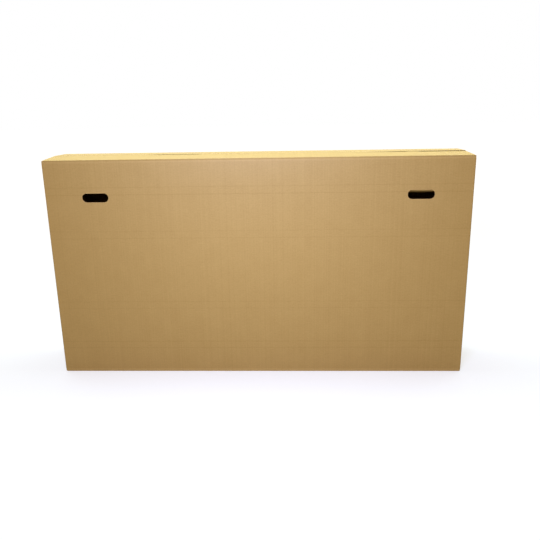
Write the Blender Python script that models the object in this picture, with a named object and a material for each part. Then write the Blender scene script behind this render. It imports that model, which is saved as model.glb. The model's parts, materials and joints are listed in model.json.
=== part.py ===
"""Bike box: a regular slotted carton of single-wall board, taped below and left unsealed on top.

Metres, +Z up. The long panels run along X, the front panel faces -Y, and the origin is at the
middle of the underside. Each panel, flap and tab is a plate between creases, and each moving plate
has its origin on its crease.
"""

import math

import bmesh
import bpy
from mathutils import Vector

# Board: single wall with C flute, and the folds pressed into it.
BOARD = 0.004
FOLD_RADIUS = 0.003
FOLD_STEPS = 4
GAP = 0.0003

# Room inside the closed carton.
INSIDE_LENGTH = 1.370
INSIDE_WIDTH = 0.208
INSIDE_HEIGHT = 0.720

# Slots between neighbouring flaps, and the seam where the long flaps meet.
SLOT_WIDTH = 0.006
SEAM_GAP = 0.002

# Hand-holes in the long panels, each with a tab that stays hinged at the hole's top edge.
HOLE_WIDTH = 0.086
HOLE_HEIGHT = 0.030
HOLE_FROM_END = 0.165
HOLE_BELOW_TOP = 0.122
HOLE_ARC_STEPS = 12
TAB_CLEARANCE = 0.0005

# The maker's joint: a tab of the back panel, glued inside the right end panel.
GLUE_TAB_WIDTH = 0.035
GLUE_TAB_TRIM = 0.020
GLUE_TAB_TAPER = math.radians(15)
RAW_EDGE_SETBACK = 0.001

# Tape along the bottom seam and up both ends.
TAPE_WIDTH = 0.050
TAPE_THICKNESS = 0.0003
TAPE_TAIL = 0.065
TAPE_BEND_STEPS = 6

# How far each plate stands off its closed position at rest.
FRONT_FLAP_SPRING = math.radians(1.0)
BACK_FLAP_SPRING = math.radians(2.0)
FRONT_LEFT_TAB_PUSH = math.radians(150)
FRONT_RIGHT_TAB_PUSH = math.radians(72)
BACK_LEFT_TAB_PUSH = math.radians(98)
BACK_RIGHT_TAB_PUSH = math.radians(112)

# Outer faces of the walls, measured from the carton's middle.
HALF_LENGTH = INSIDE_LENGTH / 2 + BOARD
HALF_WIDTH = INSIDE_WIDTH / 2 + BOARD

# Heights, from the tape's underside up through the layers of board.
Z_UNDERSIDE = TAPE_THICKNESS + GAP
Z_WALL_BASE = Z_UNDERSIDE + BOARD + GAP
Z_CEILING = Z_WALL_BASE + BOARD + INSIDE_HEIGHT
Z_WALL_TOP = Z_CEILING + BOARD
Z_TOP = Z_WALL_TOP + GAP + BOARD

# A slot is centred on its upright crease, and a crease lies half a board in from the outer face.
FLAP_INSET = (BOARD + SLOT_WIDTH) / 2
FLAP_END = HALF_LENGTH - FLAP_INSET
FLAP_DEPTH = HALF_WIDTH - SEAM_GAP / 2
FOLD_FILLET = min(FOLD_RADIUS, BOARD - GAP)

# Two plates that meet at a fold are mitred, and each keeps half the gap.
MITRE_SHIFT = GAP / math.sqrt(2)

FACING_FRONT = 0.0
FACING_RIGHT = math.pi / 2
FACING_BACK = math.pi
FACING_LEFT = -math.pi / 2


def srgb(red, green, blue):
    """Return a linear colour for the shader from sRGB values of 0 to 255."""
    linear = []
    for value in (red / 255, green / 255, blue / 255):
        linear.append(value / 12.92 if value <= 0.04045 else ((value + 0.055) / 1.055) ** 2.4)
    return (*linear, 1.0)


KRAFT_WALL = srgb(195, 162, 115)
KRAFT_FLAP = srgb(204, 172, 124)
KRAFT_INNER = srgb(186, 153, 108)
TAPE_BUFF = srgb(182, 142, 92)
KRAFT_ROUGHNESS = 0.85
TAPE_ROUGHNESS = 0.35


def clear_scene():
    for old in list(bpy.data.objects):
        bpy.data.objects.remove(old)


def finish_of(name, colour, roughness):
    material = bpy.data.materials.new(name + "_finish")
    material.use_nodes = True
    shader = material.node_tree.nodes["Principled BSDF"]
    shader.inputs["Base Color"].default_value = colour
    shader.inputs["Roughness"].default_value = roughness
    shader.inputs["Metallic"].default_value = 0.0
    material.diffuse_color = colour
    return material


def add_piece(name, shape, colour, roughness=KRAFT_ROUGHNESS, place=(0, 0, 0), turn=(0, 0, 0)):
    """Make a named object from a bmesh, with its own material, at its place and turned."""
    mesh = bpy.data.meshes.new(name)
    shape.to_mesh(mesh)
    shape.free()
    mesh.shade_smooth()
    mesh.set_sharp_from_angle(angle=math.radians(35))
    mesh.materials.append(finish_of(name, colour, roughness))
    piece = bpy.data.objects.new(name, mesh)
    piece.location = place
    piece.rotation_euler = turn
    bpy.context.scene.collection.objects.link(piece)
    return piece


def push_out(shape, faces, sweep):
    """Extrude faces along a vector. Their edges go too, or the old faces would stay inside."""
    edges = [edge for edge in shape.edges if any(face in faces for face in edge.link_faces)]
    swept = bmesh.ops.extrude_face_region(shape, geom=faces + edges)["geom"]
    moved = [item for item in swept if isinstance(item, bmesh.types.BMVert)]
    bmesh.ops.translate(shape, verts=moved, vec=sweep)


def prism(outline, sweep):
    """Return a closed shape: a flat outline of 3-D points, swept along a vector."""
    shape = bmesh.new()
    base = shape.faces.new([shape.verts.new(point) for point in outline])
    push_out(shape, [base], sweep)
    bmesh.ops.recalc_face_normals(shape, faces=shape.faces)
    return shape


def arc(centre, radius, start, end, steps):
    """Return points on an arc in a plane, both ends included; the angles are in degrees."""
    points = []
    for step in range(steps + 1):
        angle = math.radians(start + (end - start) * step / steps)
        points.append((centre[0] + radius * math.cos(angle), centre[1] + radius * math.sin(angle)))
    return points


def stadium(width, height):
    """Return the outline of a slot with round ends, centred on the origin."""
    radius = height / 2
    middle = width / 2 - radius
    right = arc((middle, 0), radius, -90, 90, HOLE_ARC_STEPS)
    left = arc((-middle, 0), radius, 90, 270, HOLE_ARC_STEPS)
    return right + left


def wall_end(corner, side, folded):
    """Return one end of a wall's plan, from its outer face at y = 0 to its inner face.

    A folded end is rounded outside and mitred to its neighbour. A raw end is square.
    """
    if not folded:
        return [(corner, 0), (corner, BOARD)]
    corner -= side * MITRE_SHIFT
    outer = arc((0, FOLD_RADIUS), FOLD_RADIUS, -90, -45, FOLD_STEPS)
    points = [(corner + side * (x - FOLD_RADIUS), y) for x, y in outer]
    points.append((corner - side * BOARD, BOARD))
    return points


def wall(start, end, outer_face, low, high, start_folded=True, end_folded=True):
    """Return an upright wall along X from start to end, with its outer face at y = -outer_face."""
    plan = wall_end(end, 1, end_folded) + wall_end(start, -1, start_folded)[::-1]
    outline = [(x, y - outer_face, low) for x, y in plan]
    return prism(outline, (0, 0, high - low))


def whole(shape):
    return shape.verts[:] + shape.edges[:] + shape.faces[:]


def cut_away(shape, point, normal):
    """Remove what lies beyond a plane, on its normal's side, and close the cut."""
    cut = bmesh.ops.bisect_plane(
        shape, geom=whole(shape), plane_co=point, plane_no=normal, clear_outer=True
    )
    rim = [item for item in cut["geom_cut"] if isinstance(item, bmesh.types.BMEdge)]
    bmesh.ops.edgeloop_fill(shape, edges=rim)
    bmesh.ops.recalc_face_normals(shape, faces=shape.faces)


def long_panel(start):
    """Return a long panel seen from outside, from its left corner at start.

    Between the slots it reaches the creases above and below, and is mitred to its flaps there.
    """
    shape = wall(start, HALF_LENGTH, HALF_WIDTH, Z_WALL_BASE, Z_WALL_TOP)
    for x in (-FLAP_END, FLAP_END):
        bmesh.ops.bisect_plane(shape, geom=whole(shape), plane_co=(x, 0, 0), plane_no=(1, 0, 0))
    for edge, crease, upward in ((Z_WALL_TOP, Z_TOP, 1), (Z_WALL_BASE, Z_UNDERSIDE, -1)):
        between_slots = []
        for face in shape.faces:
            middle = face.calc_center_median()
            if abs(middle.x) < FLAP_END and abs(middle.z - edge) < GAP:
                between_slots.append(face)
        push_out(shape, between_slots, (0, 0, crease - edge))
        hinge_line = Vector((0, -HALF_WIDTH, crease - upward * MITRE_SHIFT))
        cut_away(shape, hinge_line, Vector((0, 1, upward)))
    return shape


def round_over(shape, outer_face, height, upward):
    """Round an end panel's outer face over towards a short flap, by planes tangent to the fold.

    upward is 1 where the flap is above the panel and -1 where it is below.
    """
    centre = Vector((0, FOLD_FILLET - outer_face, height - upward * FOLD_FILLET))
    for step in range(1, FOLD_STEPS):
        angle = math.radians(90) * step / FOLD_STEPS
        normal = Vector((0, -math.cos(angle), upward * math.sin(angle)))
        cut_away(shape, centre + FOLD_FILLET * normal, normal)


def hand_hole_places():
    """Return the middle of each hand-hole as (x, z) for a long panel seen from outside."""
    from_middle = HALF_LENGTH - HOLE_FROM_END
    height = Z_TOP - HOLE_BELOW_TOP
    return [(-from_middle, height), (from_middle, height)]


def cut_hand_holes(panel):
    for number, (x, z) in enumerate(hand_hole_places()):
        outline = [(x + u, -HALF_WIDTH - BOARD, z + v) for u, v in stadium(HOLE_WIDTH, HOLE_HEIGHT)]
        mesh = bpy.data.meshes.new(f"{panel.name}_hole_cutter_{number}")
        shape = prism(outline, (0, 3 * BOARD, 0))
        shape.to_mesh(mesh)
        shape.free()
        cutter = bpy.data.objects.new(mesh.name, mesh)
        cutter.location = panel.location
        cutter.rotation_euler = panel.rotation_euler
        cutter.hide_render = True
        cutter.display_type = "WIRE"
        bpy.context.scene.collection.objects.link(cutter)
        cut = panel.modifiers.new(f"hand_hole_{number}", "BOOLEAN")
        cut.operation = "DIFFERENCE"
        cut.solver = "EXACT"
        cut.object = cutter


def make_long_panels():
    front = add_piece("front_panel", long_panel(-HALF_LENGTH), KRAFT_WALL, turn=(0, 0, FACING_FRONT))
    # Seen from outside, the back panel's left crease lies inside the end panel that covers the
    # glue tab.
    inner_crease = BOARD + GAP - HALF_LENGTH
    back = add_piece("back_panel", long_panel(inner_crease), KRAFT_WALL, turn=(0, 0, FACING_BACK))
    for panel in (front, back):
        cut_hand_holes(panel)


def make_end_panels():
    left = wall(-HALF_WIDTH, HALF_WIDTH, HALF_LENGTH, Z_WALL_BASE, Z_WALL_TOP)
    # The right end panel's far edge is the raw end of the blank, over the back panel's crease.
    raw_edge = HALF_WIDTH - RAW_EDGE_SETBACK
    right = wall(-HALF_WIDTH, raw_edge, HALF_LENGTH, Z_WALL_BASE, Z_WALL_TOP, end_folded=False)
    for panel in (left, right):
        round_over(panel, HALF_LENGTH, Z_WALL_TOP, 1)
        round_over(panel, HALF_LENGTH, Z_WALL_BASE, -1)
    add_piece("left_end_panel", left, KRAFT_WALL, turn=(0, 0, FACING_LEFT))
    add_piece("right_end_panel", right, KRAFT_WALL, turn=(0, 0, FACING_RIGHT))


def make_glue_tab():
    """Add the tab that the back panel folds into, tapered so that it clears the short flaps."""
    outer_face = HALF_LENGTH - BOARD - GAP
    free_edge = HALF_WIDTH - GLUE_TAB_WIDTH
    low = Z_WALL_BASE + BOARD + GLUE_TAB_TRIM
    high = Z_CEILING - GLUE_TAB_TRIM
    shape = wall(free_edge, HALF_WIDTH, outer_face, low, high, start_folded=False)
    slope = Vector((-math.sin(GLUE_TAB_TAPER), 0, math.cos(GLUE_TAB_TAPER)))
    cut_away(shape, Vector((HALF_WIDTH - BOARD, -outer_face, high)), slope)
    slope.z = -slope.z
    cut_away(shape, Vector((HALF_WIDTH - BOARD, -outer_face, low)), slope)
    add_piece("glue_tab", shape, KRAFT_INNER, turn=(0, 0, FACING_RIGHT))


def long_flap():
    """Return an outer flap lying inward from its crease, with its outer face up and on the origin."""
    mitred_end = [(MITRE_SHIFT, 0), (MITRE_SHIFT + BOARD, -BOARD)]
    section = mitred_end + [(FLAP_DEPTH, -BOARD), (FLAP_DEPTH, 0)]
    return prism([(-FLAP_END, y, z) for y, z in section], (2 * FLAP_END, 0, 0))


def short_flap():
    """Return an inner flap lying inward along +X from its crease, with its inner face on the origin."""
    half = HALF_WIDTH - FLAP_INSET
    reach = FLAP_DEPTH - BOARD
    outline = [(GAP, -half, 0), (reach, -half, 0), (reach, half, 0), (GAP, half, 0)]
    return prism(outline, (0, 0, BOARD))


def make_flaps():
    front = (0, -HALF_WIDTH, Z_TOP)
    back = (0, HALF_WIDTH, Z_TOP)
    add_piece("front_top_flap", long_flap(), KRAFT_FLAP, place=front, turn=(FRONT_FLAP_SPRING, 0, 0))
    add_piece(
        "back_top_flap", long_flap(), KRAFT_FLAP, place=back, turn=(BACK_FLAP_SPRING, 0, FACING_BACK)
    )
    # Below, the same flap is turned upside down.
    for name, y, facing in (
        ("front_bottom_flap", -HALF_WIDTH, FACING_FRONT),
        ("back_bottom_flap", HALF_WIDTH, FACING_BACK),
    ):
        add_piece(
            name, long_flap(), KRAFT_FLAP, place=(0, y, Z_UNDERSIDE), turn=(0, math.pi, facing)
        )
    inner_face = HALF_LENGTH - BOARD
    for level, z in (("top", Z_CEILING), ("bottom", Z_WALL_BASE)):
        add_piece(f"left_{level}_flap", short_flap(), KRAFT_INNER, place=(-inner_face, 0, z))
        add_piece(
            f"right_{level}_flap",
            short_flap(),
            KRAFT_INNER,
            place=(inner_face, 0, z),
            turn=(0, 0, FACING_BACK),
        )


def hand_tab():
    """Return a hand-hole's tab flush in its hole, hanging from a hinge line on the inner face."""
    outline = []
    for x, z in stadium(HOLE_WIDTH - 2 * TAB_CLEARANCE, HOLE_HEIGHT - 2 * TAB_CLEARANCE):
        outline.append((x, -BOARD - GAP, z - HOLE_HEIGHT / 2))
    return prism(outline, (0, BOARD, 0))


def make_hand_tabs():
    inner_face = HALF_WIDTH - BOARD - GAP
    (left, height), (right, _) = hand_hole_places()
    hinge = height + HOLE_HEIGHT / 2
    for name, x, y, facing, push in (
        ("front_left_hand_tab", left, -inner_face, FACING_FRONT, FRONT_LEFT_TAB_PUSH),
        ("front_right_hand_tab", right, -inner_face, FACING_FRONT, FRONT_RIGHT_TAB_PUSH),
        ("back_left_hand_tab", left, inner_face, FACING_BACK, BACK_LEFT_TAB_PUSH),
        ("back_right_hand_tab", right, inner_face, FACING_BACK, BACK_RIGHT_TAB_PUSH),
    ):
        add_piece(name, hand_tab(), KRAFT_INNER, place=(x, y, hinge), turn=(push, 0, facing))


def make_bottom_tape():
    """Add the strip that runs along the bottom seam and bends up both end panels."""
    end = HALF_LENGTH + GAP + TAPE_THICKNESS
    bend = FLAP_INSET
    outer = arc((end - bend, bend), bend, -90, 0, TAPE_BEND_STEPS)
    inner = arc((end - bend, bend), bend - TAPE_THICKNESS, -90, 0, TAPE_BEND_STEPS)
    outer.append((end, TAPE_TAIL))
    inner.append((end - TAPE_THICKNESS, TAPE_TAIL))
    right_side = outer + inner[::-1]
    left_outer = [(-x, z) for x, z in outer]
    left_inner = [(-x, z) for x, z in inner]
    section = right_side + left_inner + left_outer[::-1]
    outline = [(x, -TAPE_WIDTH / 2, z) for x, z in section]
    add_piece("bottom_tape", prism(outline, (0, TAPE_WIDTH, 0)), TAPE_BUFF, TAPE_ROUGHNESS)


clear_scene()
make_long_panels()
make_end_panels()
make_glue_tab()
make_flaps()
make_hand_tabs()
make_bottom_tape()
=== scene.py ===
# Bike box: a regular slotted carton of single-wall kraft board, taped below and unsealed on top.
# The sections follow the making: the long panels, the end panels and their glued joint, the bottom
# and its tape, the top flaps, the hand-hole tabs, and then the studio.
import json
import math

import bmesh
import bpy
from mathutils import Matrix, Vector


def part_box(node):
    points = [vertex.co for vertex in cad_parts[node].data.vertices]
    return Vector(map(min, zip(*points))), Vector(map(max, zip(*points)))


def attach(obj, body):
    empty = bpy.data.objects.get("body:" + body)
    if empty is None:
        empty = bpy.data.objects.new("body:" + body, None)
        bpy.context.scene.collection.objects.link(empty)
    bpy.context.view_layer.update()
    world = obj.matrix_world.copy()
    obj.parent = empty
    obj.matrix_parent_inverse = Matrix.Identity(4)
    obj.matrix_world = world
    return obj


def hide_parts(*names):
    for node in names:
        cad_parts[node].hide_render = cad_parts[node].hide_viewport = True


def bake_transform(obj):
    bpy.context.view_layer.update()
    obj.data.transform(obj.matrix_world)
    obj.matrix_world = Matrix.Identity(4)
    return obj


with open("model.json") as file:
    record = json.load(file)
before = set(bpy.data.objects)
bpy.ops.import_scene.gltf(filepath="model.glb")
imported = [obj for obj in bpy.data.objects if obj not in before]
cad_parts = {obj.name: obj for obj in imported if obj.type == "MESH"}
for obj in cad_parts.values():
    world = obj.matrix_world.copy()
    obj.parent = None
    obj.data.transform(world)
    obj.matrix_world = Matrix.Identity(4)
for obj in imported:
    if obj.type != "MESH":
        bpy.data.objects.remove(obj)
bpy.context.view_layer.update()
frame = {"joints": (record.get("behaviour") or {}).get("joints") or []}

# Long panels. Each is a zone of one die-cut sheet of C-flute board: a fluted paper glued between
# two flat liners, its flutes upright. They are scored above and below for the flaps, slotted at
# the corners and cut through for the hand-holes.
CREASE = {joint["name"]: Vector(joint["pos_m"]) for joint in frame["joints"]}
HALF_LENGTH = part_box("right_end_panel")[1].x
HALF_WIDTH = CREASE["back_flap_fold"].y
TOP = CREASE["front_flap_fold"].z
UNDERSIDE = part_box("front_bottom_flap")[0].z
MID_HEIGHT = (TOP + UNDERSIDE) / 2
CREASE_V = (TOP - UNDERSIDE) / 2
FLAP_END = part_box("front_top_flap")[1].x

# The board's papers and flutes, and how low the flutes are crushed beside a score.
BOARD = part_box("front_bottom_flap")[1].z - UNDERSIDE
LINER = 0.00035
FLUTE_PAPER = 0.00025
FLUTE_PITCH = 0.0079
FLUTE_FACETS = 8
CREST = (BOARD - 2 * LINER - FLUTE_PAPER) / 2
CRUSHED = 0.62
CRUSH_FROM = 0.011
CRUSH_STEPS = 3
EASE = 0.0001

# Upright folds and flap creases are mitred and rounded, and a score is pressed beside each crease.
# An edge is either that radius, raw, or bridged by a strip of liner that reaches past the fold.
FOLD_RADIUS = 0.0045
CREASE_RADIUS = 0.001
FOLD_STEPS = 4
SCORE_INSET = 0.0055
SCORE_HALF_WIDTH = 0.0018
SCORE_DEPTH = 0.0003
RAW = 0.0
BRIDGED = -1.0
BRIDGE = 0.005
FLUTE_GAP = 0.001

# Hand-holes are slots with round ends. The corner slots run a little past the flaps' creases.
HOLE_INSET = CREASE["front_right_tab_fold"].x
HOLE_TOP_V = CREASE["front_right_tab_fold"].z - MID_HEIGHT
HOLE_RADIUS = 0.015
HOLE_HALF_WIDTH = 0.043
HOLE_FACETS = 48
NOTCH = 0.0015

OUTSIDE, INSIDE, FLUTING = 0, 1, 2
FACING_FRONT, FACING_RIGHT, FACING_BACK, FACING_LEFT = 0, math.pi / 2, math.pi, -math.pi / 2
SHARP_ANGLE = math.radians(50)

# Middle of each upright panel along the blank, which runs right end, front, left end, back.
ALONG = {
    "front": 0.0,
    "right": HALF_LENGTH + HALF_WIDTH,
    "left": -HALF_LENGTH - HALF_WIDTH,
    "back": -2 * (HALF_LENGTH + HALF_WIDTH),
}


def linear(code):
    """Return a linear colour from an sRGB hex code."""
    channels = []
    for place in (1, 3, 5):
        value = int(code[place:place + 2], 16) / 255
        channels.append(value / 12.92 if value <= 0.04045 else ((value + 0.055) / 1.055) ** 2.4)
    return (*channels, 1.0)


def add_node(tree, kind, inputs=None, **settings):
    """Add a shader node, set its properties, and set or link its inputs."""
    made = tree.nodes.new("ShaderNode" + kind)
    for name, value in settings.items():
        setattr(made, name, value)
    for key, value in (inputs or {}).items():
        if isinstance(value, bpy.types.NodeSocket):
            tree.links.new(value, made.inputs[key])
        else:
            made.inputs[key].default_value = value
    return made


# Lines along the creases, laid into the paper's tone as painted light: painted shade in the shallow
# grooves that the rollers press into the board, a painted highlight along the score and painted
# shade at the crease's arris. Each row gives the distance below the crease, the width, and the tone
# where 0.5 is the paper's own.
PRESSED_LINE_SHADING = (
    # Painted shade in the grooves that the rollers press in.
    (0.2580, 0.0042, 0.24),
    (0.2340, 0.0042, 0.28),
    (0.1130, 0.0042, 0.12),
    (0.0890, 0.0042, 0.22),
    # A painted highlight along the score, then painted shade at the crease's arris.
    (0.0070, 0.0090, 1.00),
    (0.0012, 0.0024, 0.35),
)
BRUISE = 0.002
FOLD_SHADE = 0.5


def paper(name, light, dark, wash, marks_and_shading, roughness):
    """Make an unbleached kraft paper.

    light and dark are the ends of its cloudy colour. wash is how much the flutes show through it,
    and marks how strongly the die's pale bruises show, and with them the painted shade and
    highlight along the pressed lines and the painted shade along the upright folds.
    """
    material = bpy.data.materials.new(name)
    material.use_nodes = True
    tree = material.node_tree
    shader = tree.nodes["Principled BSDF"]
    blank = add_node(tree, "UVMap", uv_map="Blank").outputs[0]
    place = add_node(tree, "SeparateXYZ", {0: blank})
    u, v = place.outputs[0], place.outputs[1]

    # Cloudy formation of the pulp, 60 mm across, and fibre clumps drawn as coarse as 5 mm.
    clouds = add_node(tree, "TexNoise", {"Vector": blank, "Scale": 1 / 0.06, "Detail": 3.0})
    clumps = add_node(tree, "TexNoise", {"Vector": blank, "Scale": 1 / 0.005, "Detail": 3.0})
    # Fibres lie along the machine's run, drawn far coarser than real ones so that they show.
    run = add_node(tree, "Mapping", {"Vector": blank, "Scale": (1 / 0.022, 1 / 0.0022, 1.0)})
    fibres = add_node(tree, "TexNoise", {"Vector": run.outputs[0], "Scale": 1.0, "Detail": 2.0})
    # Faint upright streaks where single flutes have taken more glue.
    flutes = add_node(tree, "Mapping", {"Vector": blank, "Scale": (1 / 0.008, 1 / 1.6, 1.0)})
    streaks = add_node(tree, "TexNoise", {"Vector": flutes.outputs[0], "Scale": 1.0, "Detail": 1.0})
    turns = add_node(tree, "Math", {0: u, 1: 2 * math.pi / FLUTE_PITCH}, operation="MULTIPLY")
    ridges = add_node(tree, "Math", {0: turns.outputs[0]}, operation="COSINE")

    # Painted shade and highlight along the pressed lines and the creases, by their distance from
    # the sheet's middle.
    height = add_node(tree, "Math", {0: v}, operation="ABSOLUTE")
    share = add_node(tree, "Math", {0: height.outputs[0], 1: CREASE_V}, operation="DIVIDE")
    lines = add_node(tree, "ValToRGB", {0: share.outputs[0]})
    stops = lines.color_ramp.elements
    for stop in stops:
        stop.color = (0.5, 0.5, 0.5, 1.0)
    for inset, width, tone in PRESSED_LINE_SHADING:
        for offset, value in ((width / 2, 0.5), (0.0, tone), (-width / 2, 0.5)):
            stop = stops.new((CREASE_V - inset - offset) / CREASE_V)
            stop.color = (value, value, value, 1.0)

    # The die bruises the paper paler on both sides of its cut round each hand-hole.
    panel_u = add_node(
        tree, "Math", {0: u, 1: ALONG["right"], 2: ALONG["left"]}, operation="WRAP"
    )
    across = add_node(tree, "Math", {0: panel_u.outputs[0]}, operation="ABSOLUTE")
    from_hole = add_node(tree, "Math", {0: across.outputs[0], 1: HOLE_INSET}, operation="SUBTRACT")
    run_out = add_node(tree, "Math", {0: from_hole.outputs[0]}, operation="ABSOLUTE")
    past = add_node(
        tree,
        "Math",
        {0: run_out.outputs[0], 1: HOLE_HALF_WIDTH - HOLE_RADIUS},
        operation="SUBTRACT",
    )
    sideways = add_node(tree, "Math", {0: past.outputs[0], 1: 0.0}, operation="MAXIMUM")
    upward = add_node(tree, "Math", {0: v, 1: HOLE_TOP_V - HOLE_RADIUS}, operation="SUBTRACT")
    offset = add_node(tree, "CombineXYZ", {0: sideways.outputs[0], 1: upward.outputs[0]})
    distance = add_node(tree, "VectorMath", {0: offset.outputs[0]}, operation="LENGTH")
    from_cut = add_node(
        tree, "Math", {0: distance.outputs["Value"], 1: HOLE_RADIUS}, operation="SUBTRACT"
    )
    beside = add_node(tree, "Math", {0: from_cut.outputs[0]}, operation="ABSOLUTE")
    bruise = add_node(tree, "MapRange", {0: beside.outputs[0], 1: BRUISE, 2: 0.0, 3: 0.0, 4: 1.0})
    # Painted shade along the upright folds, darker where their rounding turns away from the light.
    from_fold = add_node(tree, "Math", {0: across.outputs[0], 1: HALF_LENGTH}, operation="SUBTRACT")
    aside = add_node(tree, "Math", {0: from_fold.outputs[0]}, operation="ABSOLUTE")
    fold_shade = add_node(
        tree, "MapRange", {0: aside.outputs[0], 1: FOLD_RADIUS, 2: 0.0, 3: 0.0, 4: -FOLD_SHADE}
    )

    shade = 0.5
    for pattern, level, strength in (
        (clouds, 0.5, 0.35),
        (clumps, 0.5, 0.75),
        (fibres, 0.5, 0.50),
        (streaks, 0.5, 0.38),
        (ridges, 0.0, wash),
        (lines, 0.5, marks_and_shading),
        (bruise, 0.0, marks_and_shading),
        (fold_shade, 0.0, marks_and_shading),
    ):
        centred = add_node(tree, "Math", {0: pattern.outputs[0], 1: level}, operation="SUBTRACT")
        added = add_node(
            tree,
            "Math",
            {0: centred.outputs[0], 1: strength, 2: shade},
            operation="MULTIPLY_ADD",
        )
        shade = added.outputs[0]
    colour = add_node(
        tree, "Mix", {0: shade, 6: linear(dark), 7: linear(light)}, data_type="RGBA"
    )
    tree.links.new(colour.outputs[2], shader.inputs["Base Color"])

    grain = add_node(tree, "Math", {0: clumps.outputs[0], 1: fibres.outputs[0]}, operation="ADD")
    relief = add_node(
        tree,
        "Math",
        {0: ridges.outputs[0], 1: 2 * wash, 2: grain.outputs[0]},
        operation="MULTIPLY_ADD",
    )
    bump = add_node(
        tree, "Bump", {"Height": relief.outputs[0], "Distance": 0.0002, "Strength": 0.5}
    )
    tree.links.new(bump.outputs[0], shader.inputs["Normal"])
    dull = add_node(
        tree,
        "MapRange",
        {0: clumps.outputs[0], 1: 0.3, 2: 0.7, 3: roughness - 0.05, 4: roughness + 0.05},
    )
    tree.links.new(dull.outputs[0], shader.inputs["Roughness"])
    return material


# The liner outside is clean virgin kraft, warm and matt, with the flutes just showing. The one
# inside is recycled, browner and rougher, and the fluting is the brownest and stiffest.
KRAFT_PAPERS = (
    paper("kraft_liner_outside", "#cba463", "#b38c4a", wash=0.03, marks_and_shading=0.90, roughness=0.56),
    paper("kraft_liner_inside", "#b08c5c", "#937043", wash=0.08, marks_and_shading=0.60, roughness=0.70),
    paper("kraft_fluting", "#a07a4b", "#7d5b34", wash=0.0, marks_and_shading=0.0, roughness=0.85),
)


def slab(corner, opposite, paper_index):
    """Return a closed slab between two opposite corners."""
    shape = bmesh.new()
    corner, opposite = Vector(corner), Vector(opposite)
    size = [abs(length) for length in opposite - corner]
    sized = Matrix.Translation((corner + opposite) / 2) @ Matrix.Diagonal((*size, 1))
    bmesh.ops.create_cube(shape, size=1.0, matrix=sized)
    for face in shape.faces:
        face.material_index = paper_index
    return shape


def side_axis(number):
    """Return the axis across side 0 to 3 (left, right, bottom, top) and which way is inward."""
    return number // 2, 1 if number % 2 == 0 else -1


def line_across(shape, axis, place):
    """Cut a line across a shape, where it will bend."""
    normal = Vector((0, 0, 0))
    normal[axis] = 1
    whole = shape.verts[:] + shape.edges[:] + shape.faces[:]
    bmesh.ops.bisect_plane(shape, geom=whole, plane_co=normal * place, plane_no=normal)


def mitre_trim(kind):
    """Return how far inside a fold's sharp corner the outer liner ends."""
    if kind == BRIDGED:
        return BRIDGE
    return kind * (1 - math.cos(math.pi / 4))


def outer_liner(sides, kinds):
    """Return the outer liner of a zone, turned half way round its folds and scored."""
    trims = [mitre_trim(kind) for kind in kinds]
    low = (sides[0] + trims[0], sides[2] + trims[2], -LINER)
    high = (sides[1] - trims[1], sides[3] - trims[3], 0)
    shape = slab(low, high, OUTSIDE)
    for number, (place, radius) in enumerate(zip(sides, kinds)):
        if radius <= 0:
            continue
        axis, inward = side_axis(number)
        for step in range(FOLD_STEPS):
            angle = math.pi / 4 * step / FOLD_STEPS
            line_across(shape, axis, place + inward * radius * (1 - math.sin(angle)))
        if axis == 1:
            for part in (-1, -0.5, 0, 0.5, 1):
                line_across(shape, axis, place + inward * (SCORE_INSET + part * SCORE_HALF_WIDTH))
    for vert in shape.verts:
        drop = 0
        for number, (place, radius) in enumerate(zip(sides, kinds)):
            if radius <= 0:
                continue
            axis, inward = side_axis(number)
            inset = inward * (vert.co[axis] - place)
            if inset < radius:
                drop += radius - math.sqrt(radius**2 - (radius - inset) ** 2)
            across = abs(inset - SCORE_INSET) / SCORE_HALF_WIDTH
            if axis == 1 and across < 1:
                drop += SCORE_DEPTH * (0.5 + 0.5 * math.cos(math.pi * across))
        vert.co.z -= drop
    return shape


def inner_liner(sides, kinds):
    """Return the inner liner of a zone. At a mitred fold it turns up to meet the outer liner."""
    insets = [{RAW: 0, BRIDGED: BOARD + EASE}.get(kind, BOARD) for kind in kinds]
    low = (sides[0] + insets[0], sides[2] + insets[2], -BOARD)
    high = (sides[1] - insets[1], sides[3] - insets[3], LINER - BOARD)
    shape = slab(low, high, INSIDE)
    for number, radius in enumerate(kinds):
        if radius <= 0:
            continue
        axis, inward = side_axis(number)
        rise = BOARD - mitre_trim(radius)
        turned = Vector((0, 0, rise - 2 * LINER))
        turned[axis] = -inward * rise
        end = []
        for face in shape.faces:
            flat = all(vert.co.z < LINER - BOARD + EASE for vert in face.verts)
            if flat and face.normal[axis] * -inward > 0.9:
                end.append(face)
        edges = [edge for edge in shape.edges if any(face in end for face in edge.link_faces)]
        swept = bmesh.ops.extrude_face_region(shape, geom=end + edges)["geom"]
        moved = [item for item in swept if isinstance(item, bmesh.types.BMVert)]
        bmesh.ops.translate(shape, verts=moved, vec=turned)
        bmesh.ops.recalc_face_normals(shape, faces=shape.faces)
    return shape


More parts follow.
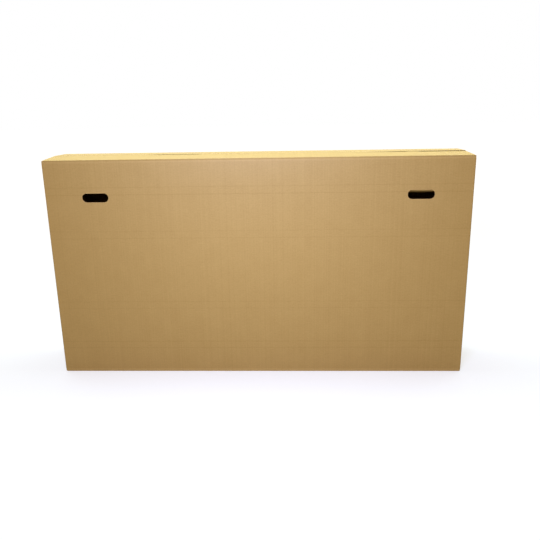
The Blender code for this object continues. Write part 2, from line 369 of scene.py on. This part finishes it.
def fluting(sides, kinds):
    """Return the fluted paper of a zone, crushed towards its scores."""
    insets = [EASE if kind == RAW else BOARD + FLUTE_GAP for kind in kinds]
    left, right = sides[0] + insets[0], sides[1] - insets[1]
    bottom, top = sides[2] + insets[2], sides[3] - insets[3]
    facets = max(2, round((right - left) / FLUTE_PITCH * FLUTE_FACETS))
    size = Matrix.Diagonal((right - left, top - bottom, 1, 1))
    middle = Matrix.Translation(((left + right) / 2, (bottom + top) / 2, 0))
    shape = bmesh.new()
    bmesh.ops.create_grid(shape, x_segments=facets, y_segments=1, size=0.5, matrix=middle @ size)
    scored = [number for number in (2, 3) if kinds[number] != RAW]
    for number in scored:
        inward = side_axis(number)[1]
        for step in range(CRUSH_STEPS):
            reach = BOARD + (CRUSH_FROM - BOARD) * (step + 1) / CRUSH_STEPS
            line_across(shape, 1, sides[number] + inward * reach)
    for vert in shape.verts:
        height = CREST
        for number in scored:
            inset = side_axis(number)[1] * (vert.co.y - sides[number])
            share = min(1, max(0, (inset - BOARD) / (CRUSH_FROM - BOARD)))
            height *= CRUSHED + (1 - CRUSHED) * share
        vert.co.z = height * math.cos(2 * math.pi * vert.co.x / FLUTE_PITCH)
        vert.co.z -= (BOARD - FLUTE_PAPER) / 2 + CREST - height
    bmesh.ops.recalc_face_normals(shape, faces=shape.faces)
    bmesh.ops.solidify(shape, geom=shape.faces[:], thickness=FLUTE_PAPER)
    bmesh.ops.recalc_face_normals(shape, faces=shape.faces)
    for face in shape.faces:
        face.material_index = FLUTING
    return shape


def gather(layers):
    """Return several shapes as one."""
    whole = bmesh.new()
    for layer in layers:
        mesh = bpy.data.meshes.new("layer")
        layer.to_mesh(mesh)
        layer.free()
        whole.from_mesh(mesh)
        bpy.data.meshes.remove(mesh)
    return whole


def die_cut(layer, die, operation):
    """Cut one layer of the board with a die. The cut shows the layer's own paper."""
    paper_index = next(iter(layer.faces)).material_index
    things = []
    for part in (layer, die):
        mesh = bpy.data.meshes.new("die")
        part.to_mesh(mesh)
        things.append(bpy.data.objects.new("die", mesh))
        bpy.context.scene.collection.objects.link(things[-1])
    cut = things[0].modifiers.new("cut", "BOOLEAN")
    cut.operation = operation
    cut.object = things[1]
    cut.solver = "EXACT"
    result = bmesh.new()
    result.from_object(things[0], bpy.context.evaluated_depsgraph_get())
    for thing in things:
        bpy.data.meshes.remove(thing.data)
    layer.free()
    for face in result.faces:
        face.material_index = paper_index
    return result


def board(sides, kinds, dies=(), operation="DIFFERENCE"):
    """Return a zone of the blank, lying in its plane with its outer face at height 0.

    sides are its left, right, bottom and top. kinds are RAW for a cut edge, the radius of a mitred
    fold, or BRIDGED where a strip of liner will cover the fold. dies are shapes that cut it.
    """
    layers = [outer_liner(sides, kinds), inner_liner(sides, kinds), fluting(sides, kinds)]
    if dies:
        die = gather(dies)
        layers = [die_cut(layer, die, operation) for layer in layers]
        die.free()
    return gather(layers)


def hand_hole(u, clearance):
    """Return a cutter for a slot with round ends, made from a circle drawn apart."""
    shape = bmesh.new()
    half_facet = Matrix.Rotation(math.pi / HOLE_FACETS, 4, "Z")
    radius = HOLE_RADIUS - clearance
    bmesh.ops.create_circle(
        shape, cap_ends=True, segments=HOLE_FACETS, radius=radius, matrix=half_facet
    )
    for vert in shape.verts:
        vert.co.x += math.copysign(HOLE_HALF_WIDTH - HOLE_RADIUS, vert.co.x)
    bmesh.ops.translate(shape, verts=shape.verts, vec=(u, HOLE_TOP_V - HOLE_RADIUS, -1.5 * BOARD))
    swept = bmesh.ops.extrude_face_region(shape, geom=shape.faces[:])["geom"]
    moved = [item for item in swept if isinstance(item, bmesh.types.BMVert)]
    bmesh.ops.translate(shape, verts=moved, vec=(0, 0, 2 * BOARD))
    bmesh.ops.recalc_face_normals(shape, faces=shape.faces)
    return shape


def standing(along, facing, reach):
    """Return the fold that stands a panel of the blank up in its place."""
    return (
        Matrix.Translation((0, 0, MID_HEIGHT))
        @ Matrix.Rotation(facing, 4, "Z")
        @ Matrix.Translation((0, -reach, 0))
        @ Matrix.Rotation(math.pi / 2, 4, "X")
        @ Matrix.Translation((-along, 0, 0))
    )


def lay_map(shape):
    """Give a flat shape its place in the blank as a map, in metres, for the papers' patterns."""
    blank = shape.loops.layers.uv.new("Blank")
    for face in shape.faces:
        for loop in face.loops:
            loop[blank].uv = loop.vert.co.xy


def make_piece(name, shape, fold, body, node, papers=KRAFT_PAPERS):
    """Make a piece of the carton, fold it into place and tie it to its body."""
    if not shape.loops.layers.uv:
        lay_map(shape)
    mesh = bpy.data.meshes.new(name)
    shape.to_mesh(mesh)
    shape.free()
    for kind in papers:
        mesh.materials.append(kind)
    mesh.transform(fold)
    mesh.shade_smooth()
    mesh.set_sharp_from_angle(angle=SHARP_ANGLE)
    piece = bpy.data.objects.new(name, mesh)
    bpy.context.scene.collection.objects.link(piece)
    if node:
        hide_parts(node)
    if body:
        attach(piece, body)
    return piece


def cap(u, v, half_width):
    """Return the strip of liner that is crushed over the flutes at the top of a hand-hole."""
    return slab((u - half_width, v - LINER, EASE - BOARD), (u + half_width, v, -EASE), OUTSIDE)


def long_panel(name, facing, left_inset):
    """Make a long panel with its hand-holes, and with the ends of the corner slots cut out."""
    along = ALONG[name]
    sides = (along - HALF_LENGTH + left_inset, along + HALF_LENGTH, -CREASE_V, CREASE_V)
    dies = []
    caps = []
    for side in (-1, 1):
        hole_u = along + side * HOLE_INSET
        dies.append(hand_hole(hole_u, 0))
        caps.append(cap(hole_u, HOLE_TOP_V - EASE, HOLE_HALF_WIDTH - HOLE_RADIUS))
        for height in (-1, 1):
            near = Vector((along + side * FLAP_END, height * (CREASE_V - NOTCH), BOARD))
            dies.append(slab(near, near + Vector((side, height, -2)) * 2 * BOARD, FLUTING))
    kinds = (FOLD_RADIUS, FOLD_RADIUS, CREASE_RADIUS, CREASE_RADIUS)
    shape = gather([board(sides, kinds, dies)] + caps)
    fold = standing(along, facing, HALF_WIDTH)
    return make_piece(f"{name}_panel_board", shape, fold, "carton", f"{name}_panel")


GLUE_TAB_LOW, GLUE_TAB_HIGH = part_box("glue_tab")
long_panel("front", FACING_FRONT, 0)
long_panel("back", FACING_BACK, HALF_LENGTH - GLUE_TAB_HIGH.x)

# End panels. The same board between the long panels. The left one is creased on both sides, and
# the right one ends in the raw edge of the sheet, which the makers glue over the tab that the back
# panel folds into.
END_CREASE_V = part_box("left_end_panel")[1].z - MID_HEIGHT
for name, facing, far_kind in (("left", FACING_LEFT, FOLD_RADIUS), ("right", FACING_RIGHT, RAW)):
    along = ALONG[name]
    far_side = HALF_WIDTH if far_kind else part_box("right_end_panel")[1].y
    sides = (along - HALF_WIDTH, along + far_side, -END_CREASE_V, END_CREASE_V)
    shape = board(sides, (FOLD_RADIUS, far_kind, FOLD_RADIUS, BRIDGED))
    fold = standing(along, facing, HALF_LENGTH)
    make_piece(f"{name}_end_board", shape, fold, "carton", f"{name}_end_panel")

# Glue tab. It is narrower than a panel, and its ends are cut back at a slant so that they clear
# the flaps.
TAB_TAPER = math.radians(15)
tab_crease = ALONG["back"] - GLUE_TAB_HIGH.x
tab_edge = tab_crease - (HALF_WIDTH - GLUE_TAB_LOW.y)
tab_reach = (GLUE_TAB_HIGH.z - GLUE_TAB_LOW.z) / 2
slants = []
for height in (-1, 1):
    slant = slab((-HALF_WIDTH, 0, BOARD), (HALF_WIDTH, height * HALF_WIDTH, -2 * BOARD), FLUTING)
    turned = Matrix.Rotation(height * TAB_TAPER, 4, "Z")
    placed = Matrix.Translation((tab_crease - BOARD, height * tab_reach, 0)) @ turned
    bmesh.ops.transform(slant, matrix=placed, verts=slant.verts)
    slants.append(slant)
tab_fold = standing(tab_crease - HALF_WIDTH, FACING_RIGHT, GLUE_TAB_HIGH.x)
sides = (tab_edge, tab_crease, -tab_reach, tab_reach)
shape = board(sides, (RAW, FOLD_RADIUS, RAW, RAW), slants)
make_piece("glue_tab_board", shape, tab_fold, "carton", "glue_tab")

# Bottom flaps. They are scored and slotted out of the same board as the top ones. The short pair
# folds in first and the long pair closes over it, edge to edge.
FLAP_REACH = HALF_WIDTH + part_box("front_bottom_flap")[1].y


def folded(crease, facing, turn, along, crease_v):
    """Return the fold that lays a flap inward from its crease, with its outer face outward."""
    return (
        Matrix.Translation(crease)
        @ Matrix.Rotation(facing, 4, "Z")
        @ Matrix.Rotation(turn, 4, "X")
        @ Matrix.Translation((-along, -crease_v, 0))
    )


for name, facing, way in (("front", FACING_FRONT, -1), ("back", FACING_BACK, 1)):
    along = ALONG[name]
    sides = (along - FLAP_END, along + FLAP_END, -CREASE_V - FLAP_REACH, -CREASE_V)
    shape = board(sides, (RAW, RAW, RAW, CREASE_RADIUS))
    fold = folded((0, way * HALF_WIDTH, UNDERSIDE), facing, math.pi, along, -CREASE_V)
    make_piece(f"{name}_bottom_board", shape, fold, "carton", f"{name}_bottom_flap")

SHORT_FLAP_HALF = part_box("left_bottom_flap")[1].y
SHORT_FLAP_REACH = HALF_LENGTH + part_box("left_bottom_flap")[1].x
for name, facing, way in (("left", FACING_LEFT, -1), ("right", FACING_RIGHT, 1)):
    along = ALONG[name]
    ends = (along - SHORT_FLAP_HALF, along + SHORT_FLAP_HALF)
    shape = board(
        (*ends, -END_CREASE_V - SHORT_FLAP_REACH, -END_CREASE_V), (RAW, RAW, RAW, FOLD_RADIUS)
    )
    crease = (way * HALF_LENGTH, 0, MID_HEIGHT - END_CREASE_V)
    fold = folded(crease, facing, math.pi, along, -END_CREASE_V)
    make_piece(f"{name}_bottom_board", shape, fold, "carton", f"{name}_bottom_flap")

# Bottom tape. One strip of buff plastic packing tape, rubbed down over the seam and a hand's width
# up both ends, with the teeth of the dispenser in its cut ends.
TAPE_LOW, TAPE_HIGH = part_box("bottom_tape")
TAPE_THICKNESS = 0.0003
TAPE_BEND = 0.005
TAPE_STEPS = 100
TEETH = 24
TOOTH = 0.0012


def film(name, light, dark):
    """Make a thin glossy plastic film, wrinkled a little by hand."""
    material = bpy.data.materials.new(name)
    material.use_nodes = True
    tree = material.node_tree
    shader = tree.nodes["Principled BSDF"]
    blank = add_node(tree, "UVMap", uv_map="Blank").outputs[0]
    wrinkles = add_node(tree, "TexNoise", {"Vector": blank, "Scale": 1 / 0.03, "Detail": 2.0})
    fold = add_node(tree, "Mapping", {"Vector": blank, "Scale": (1 / 0.012, 1 / 0.09, 1.0)})
    creases = add_node(tree, "TexNoise", {"Vector": fold.outputs[0], "Scale": 1.0, "Detail": 1.0})
    both = add_node(tree, "Math", {0: wrinkles.outputs[0], 1: creases.outputs[0]}, operation="ADD")
    bump = add_node(tree, "Bump", {"Height": both.outputs[0], "Distance": 0.0006, "Strength": 0.5})
    tree.links.new(bump.outputs[0], shader.inputs["Normal"])
    shade = add_node(
        tree,
        "Mix",
        {0: wrinkles.outputs[0], 6: linear(dark), 7: linear(light)},
        data_type="RGBA",
    )
    tree.links.new(shade.outputs[2], shader.inputs["Base Color"])
    shader.inputs["Roughness"].default_value = 0.28
    shader.inputs["IOR"].default_value = 1.49
    return material


def bend(shape, axis, way, place, radius):
    """Turn a sheet's far side a quarter inward, round a fold whose sharp corner is at place."""
    for vert in shape.verts:
        past = way * (vert.co[axis] - place) + radius
        if past <= 0:
            continue
        angle = min(past / (2 * radius), 1) * math.pi / 2
        depth = radius + vert.co.z
        straight = max(0, past - 2 * radius)
        vert.co[axis] = place + way * (depth * math.sin(angle) - radius)
        vert.co.z = depth * math.cos(angle) - radius - straight


strip = bmesh.new()
tape_reach = TAPE_HIGH.x + TAPE_HIGH.z
tape_size = Matrix.Diagonal((2 * tape_reach, TAPE_HIGH.y - TAPE_LOW.y, 1, 1))
bmesh.ops.create_grid(
    strip, x_segments=TAPE_STEPS, y_segments=2 * TEETH, size=0.5, matrix=tape_size
)
for step in range(-2 * FOLD_STEPS, 2 * FOLD_STEPS + 1):
    for way in (-1, 1):
        line_across(strip, 0, way * (TAPE_HIGH.x + TAPE_BEND * step / (2 * FOLD_STEPS)))
for vert in strip.verts:
    tooth = round((vert.co.y - TAPE_LOW.y) / (TAPE_HIGH.y - TAPE_LOW.y) * 2 * TEETH)
    if abs(vert.co.x) > tape_reach - EASE and tooth % 2:
        vert.co.x -= math.copysign(TOOTH, vert.co.x)
swept = bmesh.ops.extrude_face_region(strip, geom=strip.faces[:])["geom"]
moved = [item for item in swept if isinstance(item, bmesh.types.BMVert)]
bmesh.ops.translate(strip, verts=moved, vec=(0, 0, -TAPE_THICKNESS))
bmesh.ops.recalc_face_normals(strip, faces=strip.faces)
lay_map(strip)
for way in (-1, 1):
    bend(strip, 0, way, way * TAPE_HIGH.x, TAPE_BEND)
TAPE_FILM = film("buff_packing_film", "#c79a5e", "#b3854a")
make_piece(
    "bottom_tape_strip",
    strip,
    Matrix.Rotation(math.pi, 4, "X"),
    "carton",
    "bottom_tape",
    (TAPE_FILM,),
)

# Short top flaps. They fold in under the long ones. A strip of the outer liner is turned round each
# fold, so that the board looks like one sheet there. The strip stays put when the flap swings.
for name, facing, way in (("left", FACING_LEFT, -1), ("right", FACING_RIGHT, 1)):
    along = ALONG[name]
    ends = (along - SHORT_FLAP_HALF, along + SHORT_FLAP_HALF)
    body = f"{name}_flap"
    crease = Vector((way * HALF_LENGTH, 0, MID_HEIGHT + END_CREASE_V))
    shape = board(
        (*ends, END_CREASE_V, END_CREASE_V + SHORT_FLAP_REACH), (RAW, RAW, BRIDGED, RAW)
    )
    fold = folded(crease, facing, 0, along, END_CREASE_V)
    make_piece(f"{name}_top_board", shape, fold, body, f"{name}_top_flap")
    wrap = slab(
        (ends[0], END_CREASE_V - BRIDGE, -LINER), (ends[1], END_CREASE_V + BRIDGE, 0), OUTSIDE
    )
    for step in range(-2 * FOLD_STEPS, 2 * FOLD_STEPS + 1):
        line_across(wrap, 1, END_CREASE_V + FOLD_RADIUS * step / (2 * FOLD_STEPS))
    lay_map(wrap)
    bend(wrap, 1, 1, END_CREASE_V, FOLD_RADIUS)
    piece = make_piece(
        f"{name}_top_fold", wrap, standing(along, facing, HALF_LENGTH), None, None
    )
    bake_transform(piece)

# Long top flaps. Nothing holds them down, so they spring up a little from the score and have
# warped: the front one is up at the left, and the back one at the right.
WARP_LINES = 96
WARP = 0.0018
DIP = 0.0009
BULGE = 0.0010


def smooth_rise(value, start, end):
    """Return 0 before start, 1 after end, and a smooth rise between."""
    share = min(1, max(0, (value - start) / (end - start)))
    return share * share * (3 - 2 * share)


def front_warp(x):
    """Return how far the front flap's free edge is lifted at a place along the carton."""
    dip = DIP * smooth_rise(x, -0.37, -0.32) * (1 - smooth_rise(x, -0.21, -0.17))
    bulge = BULGE * smooth_rise(x, 0.48, 0.50) * (1 - smooth_rise(x, 0.52, 0.54))
    return WARP * (1 - smooth_rise(x, -0.30, 0.25)) - dip + bulge


def back_warp(x):
    """Return how far the back flap's free edge is lifted at a place along the carton."""
    return -WARP * smooth_rise(x, -0.25, 0.20) * (1 - smooth_rise(x, 0.30, 0.55))


for name, facing, warp in (("front", FACING_FRONT, front_warp), ("back", FACING_BACK, back_warp)):
    along = ALONG[name]
    sides = (along - FLAP_END, along + FLAP_END, CREASE_V, CREASE_V + FLAP_REACH)
    shape = board(sides, (RAW, RAW, CREASE_RADIUS, RAW))
    for step in range(1, WARP_LINES):
        line_across(shape, 0, sides[0] + (sides[1] - sides[0]) * step / WARP_LINES)
    for vert in shape.verts:
        x = math.cos(facing) * (vert.co.x - along)
        vert.co.z += warp(x) * (vert.co.y - CREASE_V) / FLAP_REACH
    joint = next(item for item in frame["joints"] if item["name"] == f"{name}_flap_fold")
    spring = math.radians(-joint["range_deg"][0])
    fold = folded(CREASE[joint["name"]], facing, spring, along, CREASE_V)
    make_piece(f"{name}_top_board", shape, fold, f"{name}_flap", f"{name}_top_flap")

# Hand-hole tabs. The die cuts each hole on three sides only, and a thumb has pushed the tab in
# about its crushed top edge, each one by a different turn.
TAB_CLEARANCE = 0.0005
PRESSED_FROM = 0.006
PRESSED_TO = 0.3
PRESS_STEPS = 4
for joint in frame["joints"]:
    if not joint["name"].endswith("_tab_fold"):
        continue
    corner = joint["name"].removesuffix("_tab_fold")
    hinge = CREASE[joint["name"]]
    at_front = corner.startswith("front")
    facing = FACING_FRONT if at_front else FACING_BACK
    u = ALONG["front"] + hinge.x if at_front else ALONG["back"] - hinge.x
    margin = HOLE_HALF_WIDTH + BOARD
    sides = (u - margin, u + margin, HOLE_TOP_V - 3 * HOLE_RADIUS, HOLE_TOP_V + BOARD)
    shape = board(sides, (RAW, RAW, RAW, RAW), [hand_hole(u, TAB_CLEARANCE)], "INTERSECT")
    crushed = cap(u, HOLE_TOP_V - TAB_CLEARANCE, HOLE_HALF_WIDTH - HOLE_RADIUS)
    fold = (
        Matrix.Translation(hinge)
        @ Matrix.Rotation(facing, 4, "Z")
        @ Matrix.Rotation(math.radians(-joint["range_deg"][0]), 4, "X")
        @ Matrix.Translation((0, abs(hinge.y) - HALF_WIDTH, 0))
        @ Matrix.Rotation(math.pi / 2, 4, "X")
        @ Matrix.Translation((-u, -HOLE_TOP_V, 0))
    )
    shape = gather([shape, crushed])
    for step in range(1, PRESS_STEPS + 1):
        line_across(shape, 1, HOLE_TOP_V - PRESSED_FROM * step / PRESS_STEPS)
    for vert in shape.verts:
        share = smooth_rise(HOLE_TOP_V - vert.co.y, 0, PRESSED_FROM)
        vert.co.z = (vert.co.z + BOARD) * (PRESSED_TO + (1 - PRESSED_TO) * share) - BOARD
    make_piece(f"{corner}_tab_board", shape, fold, f"{corner}_tab", f"{corner}_hand_tab")

# Studio. A white floor that runs back out of sight, a wide soft light overhead, a smaller one near
# the camera that puts a broad sheen on the front, and an even fill from all round.
FLOOR_SIZE = 30.0
WHITE = "#ffffff"
LIT_WITHIN = 1.0
UNLIT_BEYOND = 4.0
GLOW_WHERE_LIT = 0.60
GLOW_WHERE_UNLIT = 0.95
FILL = 0.36


def seen_directly(tree):
    """Return 1 for rays from the camera, a gloss or glass, so that all find a white background."""
    path = add_node(tree, "LightPath")
    rays = {0: path.outputs["Is Camera Ray"], 1: path.outputs["Is Glossy Ray"]}
    opaque = add_node(tree, "Math", rays, operation="MAXIMUM")
    rays = {0: opaque.outputs[0], 1: path.outputs["Is Transmission Ray"]}
    return add_node(tree, "Math", rays, operation="MAXIMUM").outputs[0]


floor_shape = bmesh.new()
bmesh.ops.create_grid(floor_shape, x_segments=1, y_segments=1, size=FLOOR_SIZE / 2)
floor_mesh = bpy.data.meshes.new("floor")
floor_shape.to_mesh(floor_mesh)
floor_shape.free()
floor = bpy.data.objects.new("floor", floor_mesh)
bpy.context.scene.collection.objects.link(floor)

# Matt white paint. To the light that bounces off it, it is a little grey. To the camera it glows,
# less near the carton where the lamps reach it, so that it is as white as the backdrop and still
# keeps the carton's soft shadow.
floor_paint = bpy.data.materials.new("white_studio_paint")
floor_paint.use_nodes = True
paint_tree = floor_paint.node_tree
paint = paint_tree.nodes["Principled BSDF"]
direct = seen_directly(paint_tree)
coat = add_node(
    paint_tree, "Mix", {0: direct, 6: linear("#a39c90"), 7: linear("#aaa6b4")}, data_type="RGBA"
)
spot = add_node(paint_tree, "TexCoord").outputs["Object"]
away = add_node(paint_tree, "VectorMath", {0: spot}, operation="LENGTH").outputs["Value"]
need = add_node(
    paint_tree,
    "MapRange",
    {0: away, 1: LIT_WITHIN, 2: UNLIT_BEYOND, 3: GLOW_WHERE_LIT, 4: GLOW_WHERE_UNLIT},
)
glow = add_node(paint_tree, "Math", {0: direct, 1: need.outputs[0]}, operation="MULTIPLY")
paint_tree.links.new(coat.outputs[2], paint.inputs["Base Color"])
paint_tree.links.new(glow.outputs[0], paint.inputs["Emission Strength"])
paint.inputs["Emission Color"].default_value = linear(WHITE)
paint.inputs["Roughness"].default_value = 1.0
paint.inputs["Specular IOR Level"].default_value = 0.0
floor_mesh.materials.append(floor_paint)

world = bpy.data.worlds.new("studio")
bpy.context.scene.world = world
world.use_nodes = True
sky = world.node_tree
background = sky.nodes["Background"]
direct = seen_directly(sky)
tint = add_node(sky, "Mix", {0: direct, 6: linear("#ffe0a4"), 7: linear(WHITE)}, data_type="RGBA")
level = add_node(sky, "MapRange", {0: direct, 1: 0.0, 2: 1.0, 3: FILL, 4: 1.0})
sky.links.new(tint.outputs[2], background.inputs["Color"])
sky.links.new(level.outputs[0], background.inputs["Strength"])


def softbox(name, place, aim, width, height, power, spread, colour):
    """Hang a soft rectangular lamp at a place, turned towards a point. spread is its louvres'."""
    lamp = bpy.data.lights.new(name, "AREA")
    lamp.shape = "RECTANGLE"
    lamp.size = width
    lamp.size_y = height
    lamp.energy = power
    lamp.spread = math.radians(spread)
    lamp.color = linear(colour)[:3]
    hung = bpy.data.objects.new(name, lamp)
    hung.location = place
    hung.rotation_euler = (Vector(aim) - Vector(place)).to_track_quat("-Z", "Y").to_euler()
    bpy.context.scene.collection.objects.link(hung)


softbox(
    "overhead_softbox",
    place=(0.0, 0.4, 2.6),
    aim=(0.0, 0.0, 0.6),
    width=3.6,
    height=1.2,
    power=87,
    spread=180,
    colour="#e1fff6",
)
softbox(
    "camera_softbox",
    place=(-0.1, -1.6, 1.2),
    aim=(0.05, -HALF_WIDTH, 0.5),
    width=0.5,
    height=0.2,
    power=9.7,
    spread=100,
    colour="#cad8ff",
)

# Camera. Just above the carton's top, a little right of its middle and looking slightly down.
LENS = 40.6
SENSOR = 36.0
CAMERA_PLACE = (0.120, -2.046, 0.939)
CAMERA_YAW = math.radians(-2.4)
CAMERA_PITCH = math.radians(16.4)
CAMERA_ROLL = math.radians(-1.04)
lens = bpy.data.cameras.new("photo_camera")
lens.lens = LENS
lens.sensor_width = SENSOR
camera = bpy.data.objects.new("photo_camera", lens)
camera.matrix_world = (
    Matrix.Translation(CAMERA_PLACE)
    @ Matrix.Rotation(-CAMERA_YAW, 4, "Z")
    @ Matrix.Rotation(math.pi / 2 - CAMERA_PITCH, 4, "X")
    @ Matrix.Rotation(CAMERA_ROLL, 4, "Z")
)
bpy.context.scene.collection.objects.link(camera)
bpy.context.scene.camera = camera
bpy.context.scene.view_settings.view_transform = "Standard"
